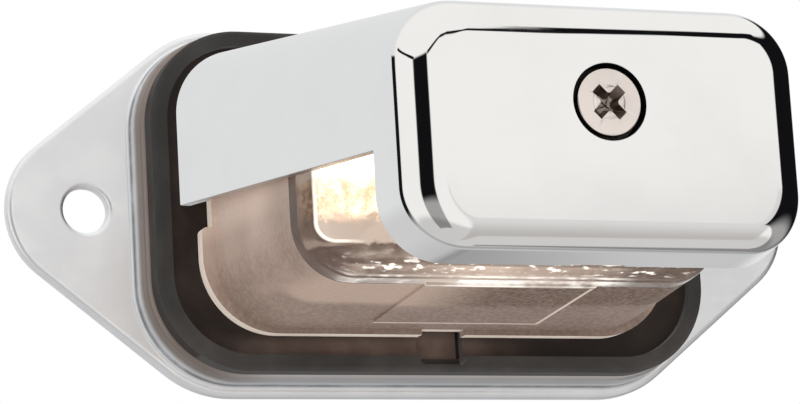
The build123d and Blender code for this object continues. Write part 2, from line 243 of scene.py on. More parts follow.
def turned(profile, steps=64):
    """A turned surface round the screw's axis, from radii and rises, with its last ring selected."""
    radius, rise = profile[0]
    bpy.ops.mesh.primitive_circle_add(
        vertices=steps, radius=radius * MM, location=point(0, rise, 0), rotation=(pi / 2, 0, 0)
    )
    for next_radius, next_rise in profile[1:]:
        step = point(0, next_rise - rise, 0)
        bpy.ops.mesh.extrude_edges_move(TRANSFORM_OT_translate={"value": step})
        grow = next_radius / radius
        bpy.ops.transform.resize(value=(grow, 1, grow), center_override=point(0, next_rise, 0))
        radius, rise = next_radius, next_rise


def bridge_all():
    """Bridges every loop of the piece that isn't hidden."""
    select_all()
    bpy.ops.mesh.bridge_edge_loops()


def bridge(wanted):
    """Bridges the two rows of edges that pass the test."""
    choose("edges", wanted)
    bpy.ops.mesh.bridge_edge_loops()


def bridge_in_plane(rise, inner):
    """Bridges two open loops in one upright plane, with the inner one lifted out of it meanwhile."""
    choose("edges", lambda edge: open_at(rise)(edge) and inner(edge))
    bpy.ops.object.vertex_group_assign_new()
    bpy.ops.transform.translate(value=point(0, LIFT, 0))
    bridge(lambda edge: open_at(rise)(edge) or (open_at(rise + LIFT)(edge) and inner(edge)))
    bpy.ops.mesh.select_mode(type="VERT")
    bpy.ops.mesh.select_all(action="DESELECT")
    bpy.ops.object.vertex_group_select()
    bpy.ops.transform.translate(value=point(0, -LIFT, 0))
    bpy.ops.object.vertex_group_remove()


def face_outward():
    """Turns every face outward and leaves edit mode."""
    select_all()
    bpy.ops.mesh.remove_doubles(threshold=MERGE * MM)
    bpy.ops.mesh.normals_make_consistent(inside=False)
    leave_edit()


def apply(piece, kind, **settings):
    """Adds a modifier to the piece and applies it."""
    modifier = piece.modifiers.new("shape", kind)
    for name, value in settings.items():
        setattr(modifier, name, value)
    bpy.context.view_layer.objects.active = piece
    bpy.ops.object.modifier_apply(modifier=modifier.name)


def cut_away(piece, cutter):
    """Cuts one piece with another, which is then gone."""
    apply(piece, "BOOLEAN", operation="DIFFERENCE", solver="EXACT", object=cutter)
    bpy.data.objects.remove(cutter)
    piece.select_set(True)


def break_edges(piece, width):
    """Rounds the piece's sharp edges a little."""
    angle = radians(SHARP_ANGLE)
    apply(piece, "BEVEL", limit_method="ANGLE", angle_limit=angle, width=width * MM, segments=2)


def keep_flat(rise):
    """Gives the faces at that rise the last word on the normals along their edges."""
    edit()
    choose("faces", at_rise(rise))
    bpy.ops.mesh.mod_weighted_strength(set=True, face_strength="STRONG")
    leave_edit()


def shade(piece, angle):
    """Smooth shading up to that angle, with flat faces kept flat."""
    bpy.ops.object.select_all(action="DESELECT")
    piece.select_set(True)
    bpy.context.view_layer.objects.active = piece
    bpy.ops.object.shade_smooth_by_angle(angle=radians(angle))
    apply(piece, "WEIGHTED_NORMAL", mode="FACE_AREA", weight=100, keep_sharp=True, use_face_influence=True)


def settle(piece, slot, *nodes):
    """The finished piece rides on the lamp in place of its solids."""
    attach(piece, "root")
    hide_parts(*nodes)


def set_or_link(tree, socket, value):
    """Sets a socket to a plain value, or links it to another node's output."""
    if isinstance(value, bpy.types.NodeSocket):
        tree.links.new(value, socket)
    else:
        socket.default_value = value


def node(tree, kind, inputs=None, **settings):
    """A node with its settings, and its inputs set or linked."""
    made = tree.nodes.new(kind)
    for name, value in settings.items():
        setattr(made, name, value)
    for name, value in (inputs or {}).items():
        set_or_link(tree, made.inputs[name], value)
    return made


def reckon(tree, operation, *values):
    """A Math node's result."""
    return node(tree, "ShaderNodeMath", dict(enumerate(values)), operation=operation).outputs[0]


def times(tree, first, *others):
    """Values multiplied, such as masks that all have to hold."""
    for other in others:
        first = reckon(tree, "MULTIPLY", first, other)
    return first


def most(tree, first, *others):
    """The greatest of some values, such as masks of which any may hold."""
    for other in others:
        first = reckon(tree, "MAXIMUM", first, other)
    return first


def size_of(tree, value):
    """A value without its sign."""
    return reckon(tree, "ABSOLUTE", value)


def spread(tree, value, low, high, to_low=0.0, to_high=1.0):
    """A value taken smoothly from one range to another."""
    inputs = {"Value": value, "From Min": low, "From Max": high, "To Min": to_low, "To Max": to_high}
    return node(tree, "ShaderNodeMapRange", inputs, interpolation_type="SMOOTHSTEP").outputs["Result"]


def strip(tree, value, low, high, soft):
    """A mask for values between two limits."""
    start = spread(tree, value, low - soft, low + soft)
    return times(tree, start, spread(tree, value, high - soft, high + soft, 1.0, 0.0))


def noise(tree, place, scale, detail, roughness=0.5):
    """A cloudy value over the surface."""
    inputs = {"Vector": place, "Scale": scale, "Detail": detail, "Roughness": roughness}
    return node(tree, "ShaderNodeTexNoise", inputs).outputs["Fac"]


def stretched(tree, place, scale, turn=(0.0, 0.0, 0.0)):
    """Coordinates turned and scaled, to draw a pattern out."""
    inputs = {"Vector": place, "Rotation": turn, "Scale": scale}
    return node(tree, "ShaderNodeMapping", inputs).outputs[0]


def blend(tree, amount, first, second):
    """Two colours mixed by an amount."""
    made = node(tree, "ShaderNodeMix", data_type="RGBA")
    for number, value in ((0, amount), (6, first), (7, second)):
        set_or_link(tree, made.inputs[number], value)
    return made.outputs[2]


def rgb(red, green, blue):
    """A colour with full cover."""
    return (red, green, blue, 1.0)


def new_group(name, size, *outputs):
    """A group that takes a place and a size; gives its tree, the place, one over the size, and its ends."""
    tree = bpy.data.node_groups.new(name, "ShaderNodeTree")
    tree.interface.new_socket("Place", in_out="INPUT", socket_type="NodeSocketVector")
    given_size = tree.interface.new_socket("Size", in_out="INPUT", socket_type="NodeSocketFloat")
    given_size.default_value = size
    for output in outputs:
        tree.interface.new_socket(output, in_out="OUTPUT", socket_type="NodeSocketFloat")
    given = tree.nodes.new("NodeGroupInput").outputs
    often = reckon(tree, "DIVIDE", 1.0, given["Size"])
    return tree, given["Place"], often, tree.nodes.new("NodeGroupOutput").inputs


def make_handling_group():
    """Faint cloudy smears and short hairlines that a handled smooth surface picks up."""
    tree, place, often, result = new_group("handling_marks", 0.02, "Smear", "Hairline")
    cloud = noise(tree, place, often, 5.0, 0.6)
    tree.links.new(spread(tree, cloud, 0.42, 0.72), result["Smear"])
    drawn = stretched(tree, place, (1.0, 14.0, 1.0), (0.4, 0.9, 0.5))
    line = noise(tree, drawn, times(tree, often, 6.0), 2.0)
    tree.links.new(spread(tree, line, 0.60, 0.70), result["Hairline"])
    return tree


def make_grain_group():
    """Fine moulded or cast grain, as a height and as a cloudy tone."""
    tree, place, often, result = new_group("fine_grain", 0.0006, "Height", "Tone")
    tree.links.new(noise(tree, place, often, 4.0, 0.7), result["Height"])
    cloud = noise(tree, place, times(tree, often, 0.07), 4.0)
    tree.links.new(spread(tree, cloud, 0.35, 0.68), result["Tone"])
    return tree


def make_streak_group():
    """Long fine streaks along the lamp, as rolled sheet shows, and a broad mottle."""
    tree, place, often, result = new_group("rolled_streaks", 0.0008, "Streak", "Mottle")
    drawn = stretched(tree, place, (0.05, 1.0, 1.0))
    tree.links.new(noise(tree, drawn, often, 3.0), result["Streak"])
    mottle = noise(tree, place, times(tree, often, 0.16), 6.0, 0.65)
    tree.links.new(spread(tree, mottle, 0.36, 0.66), result["Mottle"])
    return tree


handling_marks = make_handling_group()
fine_grain = make_grain_group()
rolled_streaks = make_streak_group()

# The effect that a plain finish follows, and the output of it that its tone and gloss change with.
GRAIN = (fine_grain, "Tone")
HANDLING = (handling_marks, "Smear")


def new_finish(name, **constants):
    """A material with its shader's plain values set; gives the material, its tree, shader and coordinates."""
    material = bpy.data.materials.new(name)
    material.use_nodes = True
    tree = material.node_tree
    shader = tree.nodes["Principled BSDF"]
    for socket, value in constants.items():
        shader.inputs[socket.replace("_", " ")].default_value = value
    place = node(tree, "ShaderNodeTexCoord").outputs["Object"]
    return material, tree, shader, place


def effect(tree, group, place, size):
    """A shared effect placed in a material; gives its outputs."""
    return node(tree, "ShaderNodeGroup", {"Place": place, "Size": size}, node_tree=group).outputs


def raise_bump(tree, shader, height, depth, strength):
    """A bump of that depth in millimetres on the shader's normal."""
    bump = node(tree, "ShaderNodeBump", {"Height": height, "Strength": strength, "Distance": depth * MM})
    tree.links.new(bump.outputs["Normal"], shader.inputs["Normal"])


def feed(tree, shader, **sockets):
    """Links values to the shader's sockets."""
    for socket, value in sockets.items():
        tree.links.new(value, shader.inputs[socket.replace("_", " ")])


def gloss(tree, value, low, high):
    """A roughness between two values, as another value goes from 0 to 1."""
    return spread(tree, value, 0.0, 1.0, low, high)


def lamp_axes(tree, place):
    """How far across, forward and up a point lies, in millimetres."""
    parts = node(tree, "ShaderNodeSeparateXYZ", {0: place}).outputs
    signs = (("X", 1.0), ("Y", -1.0), ("Z", 1.0))
    return [times(tree, parts[axis], sign / MM) for axis, sign in signs]


def plain_finish(name, follows, size, tones, rough, glow=None, bump=None, tone_from=None, **constants):
    """A finish whose tone, gloss and glow follow one shared effect, from one value to another."""
    finish, tree, shader, place = new_finish(name, **constants)
    group, output = follows
    made = effect(tree, group, place, size)
    tone = blend(tree, made[tone_from or output], *tones)
    feed(tree, shader, Base_Color=tone, Roughness=gloss(tree, made[output], *rough))
    if glow:
        feed(tree, shader, Emission_Color=blend(tree, made[output], *glow))
    if bump:
        raise_bump(tree, shader, made["Height"], *bump)
    return finish


def make_polished_chrome():
    """Bright plating with faint smears, hairlines and the slow wave of a polished casting."""
    finish, tree, shader, place = new_finish("polished_chrome", Metallic=1.0)
    marks = effect(tree, handling_marks, place, 0.016)
    tone = blend(tree, marks["Smear"], rgb(0.90, 0.90, 0.90), rgb(0.87, 0.87, 0.868))
    rough = gloss(tree, marks["Smear"], 0.02, 0.05)
    rough = reckon(tree, "MULTIPLY_ADD", marks["Hairline"], 0.02, rough)
    feed(tree, shader, Base_Color=tone, Roughness=rough)
    raise_bump(tree, shader, noise(tree, place, 70.0, 1.0), 0.06, 0.5)
    return finish


def make_cast_chrome():
    """The grainy plating inside the hood."""
    return plain_finish(
        "plated_casting_inside", GRAIN, 0.0012, (rgb(0.60, 0.60, 0.60), rgb(0.74, 0.74, 0.735)),
        (0.38, 0.26), bump=(0.05, 0.6), Metallic=1.0,
    )


def make_pocket_wall():
    """The wall of the screw's pocket, which polishing doesn't reach; its near-black colour is painted shade
    for the deep gap.
    """
    return plain_finish(
        "pocket_wall_painted_shade", GRAIN, 0.0008, (rgb(0.045, 0.043, 0.042), rgb(0.085, 0.082, 0.08)),
        (0.55, 0.42), bump=(0.03, 0.5), Metallic=1.0,
    )


def make_screw_steel():
    """The screw's warm satin steel."""
    return plain_finish(
        "satin_screw_steel", GRAIN, 0.0006, (rgb(0.86, 0.785, 0.74), rgb(0.905, 0.83, 0.785)),
        (0.26, 0.20), bump=(0.010, 0.5), Metallic=1.0,
    )


def make_recess_steel():
    """Steel in the cross recess, painted darker as shade."""
    return plain_finish(
        "recess_steel_painted_shade", GRAIN, 0.0005, (rgb(0.20, 0.165, 0.14), rgb(0.46, 0.39, 0.345)),
        (0.42, 0.30), tone_from="Height", Metallic=1.0,
    )


def make_post_steel():
    """Plated steel of the threaded post."""
    return plain_finish(
        "plated_post_steel", GRAIN, 0.0008, (rgb(0.58, 0.57, 0.55), rgb(0.72, 0.71, 0.69)),
        (0.40, 0.28), Metallic=1.0,
    )


def make_socket_plastic():
    """Black moulded plastic of the bulb sockets."""
    return plain_finish(
        "dark_socket_plastic", GRAIN, 0.0006, (rgb(0.028, 0.027, 0.026), rgb(0.046, 0.044, 0.042)),
        (0.52, 0.40), bump=(0.02, 0.5),
    )


def make_contact_brass():
    """Brass strip, duller where it was handled."""
    return plain_finish(
        "contact_brass", HANDLING, 0.004, (rgb(0.84, 0.66, 0.34), rgb(0.62, 0.46, 0.24)),
        (0.24, 0.42), Metallic=1.0,
    )


def make_lead_wire():
    """The bulbs' drawn lead wires."""
    return plain_finish(
        "lead_wire", HANDLING, 0.003, (rgb(0.74, 0.73, 0.70), rgb(0.58, 0.56, 0.52)),
        (0.25, 0.40), Metallic=1.0,
    )


def make_filament_wire():
    """The glowing filaments."""
    return plain_finish(
        "filament_wire", GRAIN, 0.0003, (rgb(0.30, 0.29, 0.28), rgb(0.42, 0.41, 0.40)),
        (0.5, 0.4), glow=(rgb(0.95, 0.62, 0.30), rgb(1.0, 0.80, 0.52)), Metallic=1.0, Emission_Strength=1.0,
    )


def make_lens_edge():
    """The flange's outer edge, with a painted cream highlight and a painted glow for the light it gathers."""
    return plain_finish(
        "lens_flange_edge_painted_glow", GRAIN, 0.0010, (rgb(0.84, 0.72, 0.62), rgb(0.90, 0.79, 0.69)),
        (0.45, 0.35), glow=(rgb(0.16, 0.125, 0.10), rgb(0.24, 0.19, 0.155)),
        IOR=1.5, Transmission_Weight=0.05, Emission_Strength=1.0,
    )


def make_bulb_glass():
    """Clear glass, lit towards the bulb's tip."""
    finish, tree, shader, place = new_finish(
        "bulb_glass", Base_Color=rgb(0.98, 0.97, 0.95), IOR=1.47, Transmission_Weight=1.0,
        Emission_Strength=1.0,
    )
    marks = effect(tree, handling_marks, place, 0.006)
    forward = node(tree, "ShaderNodeSeparateXYZ", {0: place}).outputs["Y"]
    lit = spread(tree, forward, -0.018, -0.027)
    glow = blend(tree, lit, rgb(0.16, 0.08, 0.025), rgb(0.50, 0.44, 0.36))
    feed(tree, shader, Roughness=gloss(tree, marks["Smear"], 0.01, 0.04), Emission_Color=glow)
    return finish


def make_zinc_plate():
    """Zinc-plated sheet, with painted shade at the foot of its step and a painted dark brown reflection of
    the rubber.
    """
    finish, tree, shader, place = new_finish("zinc_plated_sheet", Metallic=1.0)
    sheet = effect(tree, rolled_streaks, place, 0.0010)
    across, rise, _ = lamp_axes(tree, place)
    tone = blend(tree, sheet["Mottle"], rgb(0.93, 0.942, 0.968), rgb(0.965, 0.977, 0.995))
    # Painted shade at the foot of the step, patchy with the mottle.
    patchy = spread(tree, sheet["Mottle"], 0.0, 1.0, 0.95, 0.6)
    foot = times(tree, spread(tree, rise, 2.1, 2.9), spread(tree, rise, 2.9, 4.2, 1.0, 0.0), patchy)
    tone = blend(tree, foot, tone, rgb(0.24, 0.24, 0.24))
    facing = node(tree, "ShaderNodeTexCoord").outputs["Normal"]
    rearward = node(tree, "ShaderNodeSeparateXYZ", {0: facing}).outputs["Y"]
    # A painted dark brown reflection of the rubber on the sheet beside it, stronger at the left, left off
    # faces that look back.
    by_rubber = spread(tree, rise, 3.3, 5.5)
    more_at_left = spread(tree, across, -34.0, -22.0, 0.92, 0.45)
    rubber_reflection = times(tree, by_rubber, more_at_left, spread(tree, rearward, 0.5, 0.1))
    tone = blend(tree, rubber_reflection, tone, rgb(0.25, 0.195, 0.165))
    rough = gloss(tree, sheet["Mottle"], 0.42, 0.38)
    rough = reckon(tree, "MULTIPLY_ADD", sheet["Streak"], 0.08, rough)
    feed(tree, shader, Base_Color=tone, Roughness=rough)
    raise_bump(tree, shader, sheet["Streak"], 0.008, 0.5)
    return finish


def make_black_rubber():
    """Black rubber: its hollow round the lens painted darker as shade, with painted brown light at the
    bottom.
    """
    finish, tree, shader, place = new_finish("black_rubber", Specular_IOR_Level=0.25)
    grain = effect(tree, fine_grain, place, 0.0005)
    across, rise, level = lamp_axes(tree, place)
    # Painted shade: the hollow round the lens is darker than the rim.
    shaded_hollow = blend(tree, grain["Tone"], rgb(0.016, 0.010, 0.008), rgb(0.034, 0.023, 0.018))
    # A painted pool of brown light from the lens, at the bottom of the hollow.
    lit_hollow = blend(tree, grain["Tone"], rgb(0.120, 0.083, 0.067), rgb(0.225, 0.160, 0.130))
    lit = times(tree, spread(tree, level, -18.0, -20.0), strip(tree, across, -26.0, 6.0, 10.0))
    shaded_hollow = blend(tree, lit, shaded_hollow, lit_hollow)
    rim = blend(tree, grain["Tone"], rgb(0.030, 0.028, 0.026), rgb(0.048, 0.045, 0.042))
    low_rim = blend(tree, grain["Tone"], rgb(0.050, 0.045, 0.041), rgb(0.078, 0.071, 0.066))
    rim = blend(tree, spread(tree, level, -13.0, -19.0), rim, low_rim)
    outer = spread(tree, level, -21.4, -21.7)
    tone = blend(tree, most(tree, spread(tree, rise, 9.7, 10.5), outer), shaded_hollow, rim)
    slot = strip(tree, across, -DRAIN_HALF_WIDTH, DRAIN_HALF_WIDTH, 0.1)
    not_outer = reckon(tree, "SUBTRACT", 1.0, outer)
    drain = times(tree, slot, spread(tree, level, -17.5, -18.0), not_outer)
    # The drain slot's walls are painted near-black as shade and its floor takes the painted brown light.
    drain_floor = strip(tree, across, 0.1 - DRAIN_HALF_WIDTH, DRAIN_HALF_WIDTH - 0.5, 0.1)
    drain_shade_and_light = blend(tree, drain_floor, rgb(0.006, 0.005, 0.004), lit_hollow)
    tone = blend(tree, drain, tone, drain_shade_and_light)
    feed(tree, shader, Base_Color=tone, Roughness=gloss(tree, grain["Tone"], 0.55, 0.70))
    raise_bump(tree, shader, grain["Height"], 0.03, 0.5)
    return finish


def pad_edges(tree, across, rise):
    """A mask for the rear and right edges of the pad under the lens."""
    along = strip(tree, rise, PAD_REAR, PAD_FRONT, 0.1)
    over = strip(tree, across, -PAD_HALF_WIDTH, PAD_HALF_WIDTH, 0.1)
    right = times(tree, along, strip(tree, across, PAD_HALF_WIDTH - 0.5, PAD_HALF_WIDTH + 0.15, 0.12))
    rear = times(tree, over, strip(tree, rise, PAD_REAR - 0.3, PAD_REAR + 0.45, 0.1))
    return most(tree, right, rear)


def make_lens_walls():
    """Matt moulded walls with a slanting grain, painted light and shade, and painted glints on the pad's
    edges.
    """
    finish, tree, shader, place = new_finish(
        "grained_lens_wall", IOR=1.5, Specular_IOR_Level=0.25, Transmission_Weight=0.12, Emission_Strength=1.0
    )
    slanted = stretched(tree, place, (1.0, 1.0, 0.75), (0.5, 0.7, 0.4))
    grain = effect(tree, fine_grain, slanted, 0.0007)
    across, rise, level = lamp_axes(tree, place)
    # Painted shade: the walls darker low down.
    low = blend(tree, grain["Tone"], rgb(0.29, 0.20, 0.155), rgb(0.40, 0.285, 0.23))
    tone = blend(tree, grain["Tone"], rgb(0.50, 0.375, 0.31), rgb(0.62, 0.475, 0.40))
    tone = blend(tree, spread(tree, level, -5.0, -13.5), tone, low)
    # A painted pool of light on the walls' upper left.
    lit_upper_left = times(tree, spread(tree, level, -7.0, -2.5), spread(tree, across, -24.0, -27.0))
    tone = blend(tree, lit_upper_left, tone, rgb(1.0, 0.80, 0.68))
    # Painted shade on the walls towards the front.
    front_shade = times(tree, spread(tree, rise, 25.0, 33.0, 0.0, 0.45), spread(tree, level, -14.5, -12.0))
    tone = blend(tree, front_shade, tone, rgb(0.25, 0.17, 0.135))
    under = spread(tree, level, -14.5, -16.2)
    to_right = spread(tree, across, -13.0, 1.0)
    # Painted light on the underside's front part, turning to painted shade towards the right.
    ahead = times(tree, under, spread(tree, rise, 23.0, 27.0))
    underside_light_and_shade = blend(tree, to_right, rgb(0.54, 0.39, 0.31), rgb(0.105, 0.052, 0.025))
    tone = blend(tree, ahead, tone, underside_light_and_shade)
    # Painted shade on the underside near the seat, deeper towards the right.
    seat_shade = times(tree, under, spread(tree, rise, 26.0, 23.5, 0.0, 0.6))
    seat_shade_tone = blend(tree, to_right, rgb(0.23, 0.155, 0.12), rgb(0.15, 0.10, 0.08))
    tone = blend(tree, seat_shade, tone, seat_shade_tone)
    speck = spread(tree, grain["Height"], 0.35, 0.70, 0.0, 0.25)
    tone = blend(tree, speck, tone, rgb(0.62, 0.50, 0.43))
    # Painted highlights along the pad's edges, and a faint painted glow over the walls, stronger on those
    # edges.
    glint = times(tree, under, pad_edges(tree, across, rise))
    tone = blend(tree, glint, tone, rgb(0.72, 0.60, 0.52))
    glow = blend(tree, glint, rgb(0.040, 0.030, 0.024), rgb(0.11, 0.085, 0.07))
    rough = spread(tree, grain["Height"], 0.3, 0.7, 0.62, 0.48)
    feed(tree, shader, Base_Color=tone, Roughness=rough, Emission_Color=glow)
    raise_bump(tree, shader, grain["Height"], 0.07, 0.8)
    return finish


def inner_edge(tree, across, level):
    """How far outside the hollow's front edge a point lies, in millimetres."""
    side = reckon(tree, "SUBTRACT", size_of(tree, across), HOLLOW_HALF_WIDTH - HOLLOW_CORNER)
    side = most(tree, side, 0.0)
    below = most(tree, reckon(tree, "MULTIPLY_ADD", level, -1.0, HOLLOW_CORNER - HOLLOW_DEPTH), 0.0)
    squares = reckon(tree, "MULTIPLY_ADD", side, side, times(tree, below, below))
    return reckon(tree, "SUBTRACT", reckon(tree, "SQRT", squares), HOLLOW_CORNER)


def painted_bulb_light(tree, place, across, level):
    """Painted light on the clear front: white over each bulb, broken into amber sparkles below it."""
    uneven = reckon(tree, "MULTIPLY_ADD", noise(tree, place, 420.0, 4.0, 0.65), 7.0, level)
    amber = spread(tree, noise(tree, place, 1100.0, 3.0, 0.7), 0.42, 0.60)
    glow = blend(tree, amber, rgb(0.26, 0.16, 0.08), rgb(0.90, 0.68, 0.46))
    glow = blend(tree, spread(tree, uneven, -5.6, -4.2), rgb(0.19, 0.152, 0.13), glow)
    glow = blend(tree, spread(tree, uneven, -1.0, 1.6), glow, rgb(1.0, 0.99, 0.96))
    bulb_off = size_of(tree, reckon(tree, "SUBTRACT", size_of(tree, across), BULB_ACROSS))
    return blend(tree, spread(tree, bulb_off, 9.0, 13.0), glow, rgb(0.16, 0.125, 0.10))


def painted_rounding_light(tree, place, across, rise, level):
    """Painted long lines and small spots of light along the underside of the front rounding, over a painted
    haze.
    """
    drift = noise(tree, place, 160.0, 3.0, 0.7)
    bent = reckon(tree, "MULTIPLY_ADD", drift, 0.5, rise)
    rises_and_halves = ((36.25, 0.3), (37.35, 0.7), (38.75, 0.2))
    lines = most(tree, *[strip(tree, bent, at - half, at + half, 0.12) for at, half in rises_and_halves])
    broken = spread(tree, drift, 0.40, 0.56, 0.3, 1.0)
    lines = times(tree, lines, broken, spread(tree, across, 18.0, 12.0, 0.1, 1.0))
    spark = noise(tree, stretched(tree, place, (0.34, 1.0, 1.0)), 1500.0, 2.0)
    spots = times(tree, spread(tree, spark, 0.55, 0.63), strip(tree, rise, 39.0, 40.3, 0.3))
    faint = spread(tree, spark, 0.45, 0.75, 0.0, 0.22)
    reach = spread(tree, size_of(tree, across), 28.0, 19.0)
    bright = times(tree, most(tree, faint, lines, spots), reach, spread(tree, level, -11.5, -14.0))
    hazy = times(tree, strip(tree, across, -14.0, 9.0, 7.0), spread(tree, level, -13.5, -15.5))
    haze = blend(tree, hazy, rgb(0.035, 0.026, 0.022), rgb(0.36, 0.285, 0.235))
    return blend(tree, bright, haze, rgb(1.0, 0.95, 0.88))


def make_lens_clear():
    """The clear front, darker low down, with painted bulb light inside, a painted bright inner edge and
    painted sparkles on its rounding.
    """
    finish, tree, shader, place = new_finish(
        "clear_lens_front", IOR=1.3, Specular_IOR_Level=0.2, Transmission_Weight=0.55, Emission_Strength=1.0
    )
    marks = effect(tree, handling_marks, place, 0.012)
    across, rise, level = lamp_axes(tree, place)
    off_middle = size_of(tree, across)
    away = inner_edge(tree, across, level)
    ragged = spread(tree, off_middle, 25.5, 21.0, 0.3, 3.2)
    wave = reckon(tree, "SUBTRACT", noise(tree, place, 260.0, 4.0, 0.6), 0.5)
    inner = spread(tree, reckon(tree, "ADD", away, times(tree, wave, ragged)), 0.25, -0.25)
    smoky = blend(tree, marks["Smear"], rgb(0.15, 0.105, 0.085), rgb(0.34, 0.26, 0.215))
    dusky = blend(tree, marks["Smear"], rgb(0.07, 0.048, 0.038), rgb(0.17, 0.13, 0.105))
    smoky = blend(tree, spread(tree, level, -13.0, -9.0), smoky, dusky)
    # Inside the hollow's front edge the front is painted a bright tone, as light from the bulbs.
    tone = blend(tree, inner, smoky, rgb(0.80, 0.72, 0.64))
    # A painted highlight along the hollow's front edge, towards its ends.
    clean = spread(tree, marks["Smear"], 0.0, 1.0, 0.95, 0.5)
    at_ends = spread(tree, off_middle, 21.0, 25.5)
    line = times(tree, strip(tree, away, -0.25, 0.15, 0.12), clean, at_ends)
    lit = painted_bulb_light(tree, place, across, level)
    glow = blend(tree, inner, painted_rounding_light(tree, place, across, rise, level), lit)
    glow = blend(tree, line, glow, rgb(0.95, 0.88, 0.80))
    rough = gloss(tree, marks["Smear"], 0.06, 0.12)
    feed(tree, shader, Base_Color=tone, Roughness=rough, Emission_Color=glow)
    return finish


# The slots of the hood's finishes that come after the polished one.
CAST = 1
POCKET = 2


def build_hood(polished, cast, pocket_wall):
    """The tapered shell: outer and inner walls, cut-away sides, apron, and the boss with its screw pocket."""
    hood = start_piece("hood_shell", polished, cast, pocket_wall)
    raise_outer_wall(hood)
    sink_pocket(hood)
    raise_inner_wall(hood)
    open_the_sides()
    face_outward()
    cut_away(hood, gate_cutter())
    break_edges(hood, HOOD_EDGE)
    keep_flat(HOOD_FRONT)
    shade(hood, SMOOTH_ANGLE)
    settle(hood, "chrome", "hood")


def raise_outer_wall(hood):
    """The outer wall and its rounded front edge, with the flat front left open."""
    outline(*HOOD_FRONT_OUTLINE, HOOD_FRONT)
    outline(*HOOD_REAR_OUTLINE, HOOD_REAR)
    bridge_all()
    choose("edges", at_rise(HOOD_FRONT))
    bpy.ops.mesh.edge_face_add()
    weigh_front_edge(hood)
    leave_edit()
    apply(
        hood, "BEVEL", limit_method="WEIGHT", width=HOOD_TOP_ROUND * MM, segments=HOOD_ROUND_STEPS,
        use_clamp_overlap=False, loop_slide=False,
    )
    edit()
    choose("faces", lambda face: at_rise(HOOD_FRONT)(face) and abs(face.normal.y) > STRAIGHT)
    bpy.ops.mesh.delete(type="ONLY_FACE")


def weigh_front_edge(hood):
    """The front edge is rounded most along the top and least along the bottom."""
    low, high, corner = HOOD_FRONT_OUTLINE[1:]
    mesh = bmesh.from_edit_mesh(hood.data)
    weight = mesh.edges.layers.float.new("bevel_weight_edge")
    for edge in mesh.edges:
        if not at_rise(HOOD_FRONT)(edge):
            continue
        level = middle(edge).z
        if level > 0:
            share = max(0.0, (level - high + corner) / corner)
            width = HOOD_SIDE_ROUND + (HOOD_TOP_ROUND - HOOD_SIDE_ROUND) * share
        else:
            share = max(0.0, (low + corner - level) / corner) ** 2
            width = HOOD_SIDE_ROUND + (HOOD_LOW_ROUND - HOOD_SIDE_ROUND) * share
        edge[weight] = width / HOOD_TOP_ROUND
    bmesh.update_edit_mesh(hood.data)


def sink_pocket(hood):
    """The screw's pocket and hole and the boss round them, joined to the flat front."""
    turned([
        (POCKET_RADIUS + POCKET_EDGE, HOOD_FRONT),
        (POCKET_RADIUS + POCKET_EDGE_MIDDLE, HOOD_FRONT - POCKET_EDGE_MIDDLE),
        (POCKET_RADIUS, HOOD_FRONT - POCKET_EDGE), (POCKET_RADIUS, HOOD_INSIDE),
        (SCREW_HOLE_RADIUS, HOOD_INSIDE), (SCREW_HOLE_RADIUS, BOSS_TIP),
        (BOSS_TIP_RADIUS, BOSS_TIP), (BOSS_ROOT_RADIUS, HOOD_INSIDE),
    ])
    bridge_in_plane(HOOD_FRONT, lambda edge: from_axis(edge) < POCKET_RADIUS + MARGIN)
    choose("faces", lambda face: middle(face).y < HOOD_INSIDE and from_axis(face) < BOSS_ROOT_RADIUS)
    give_finish(hood, CAST)
    under_floor = HOOD_INSIDE - POCKET_EDGE
    choose("faces", lambda face: middle(face).y > under_floor and from_axis(face) < POCKET_RADIUS)
    give_finish(hood, POCKET)


def raise_inner_wall(hood):
    """The inner wall, joined to the outer one at the rear and to the boss in front."""
    select_all()
    bpy.ops.mesh.hide()
    outline(*inside(HOOD_REAR_OUTLINE, HOOD_WALL), HOOD_REAR)
    outline(*inside(hood_outline(HOOD_INSIDE), HOOD_WALL), HOOD_INSIDE)
    bridge_all()
    select_all()
    give_finish(hood, CAST)
    bpy.ops.mesh.reveal()
    bridge_in_plane(HOOD_REAR, lambda edge: edge.link_faces[0].material_index == CAST)
    bridge_in_plane(HOOD_INSIDE, lambda edge: from_axis(edge) < BOSS_ROOT_RADIUS + MARGIN)
    choose("faces", lambda face: at_rise(HOOD_INSIDE)(face) and from_axis(face) > BOSS_ROOT_RADIUS)
    give_finish(hood, CAST)


def window_level(rise):
    """The level of the sides' lower edge at that rise."""
    share = (rise - HOOD_REAR) / (APRON_REAR - HOOD_REAR)
    return WINDOW_REAR_LEVEL + (WINDOW_FRONT_LEVEL - WINDOW_REAR_LEVEL) * share


def open_the_sides():
    """Cuts away the sides and bottom behind the apron, and closes the cut walls."""
    slope = (WINDOW_FRONT_LEVEL - WINDOW_REAR_LEVEL) / (APRON_REAR - HOOD_REAR)
    select_all()
    bpy.ops.mesh.bisect(plane_co=point(0, APRON_REAR, 0), plane_no=(0, 1, 0))
    choose("faces", lambda face: middle(face).y < APRON_REAR)
    bpy.ops.mesh.bisect(plane_co=point(0, HOOD_REAR, WINDOW_REAR_LEVEL), plane_no=(0, slope, 1))

    def cut_off(face):
        place = middle(face)
        below = place.y < APRON_REAR and place.z < window_level(place.y)
        return below and place.xz.length > BOSS_ROOT_RADIUS

    choose("faces", cut_off)
    bpy.ops.mesh.delete(type="FACE")
    bridge(lambda edge: edge.is_boundary and not at_rise(HOOD_REAR)(edge))


def gate_cutter():
    """The block that leaves the shallow moulding mark in the apron's rear edge."""
    bpy.ops.mesh.primitive_cube_add(size=1, location=point(GATE_OFFSET, APRON_REAR, GATE_LEVEL))
    gate = bpy.context.object
    gate.scale = Vector((GATE_WIDTH, 2 * GATE_DEPTH, GATE_HEIGHT)) * MM
    return gate


# The slot of the screw's finish that comes after its steel.
RECESS = 1


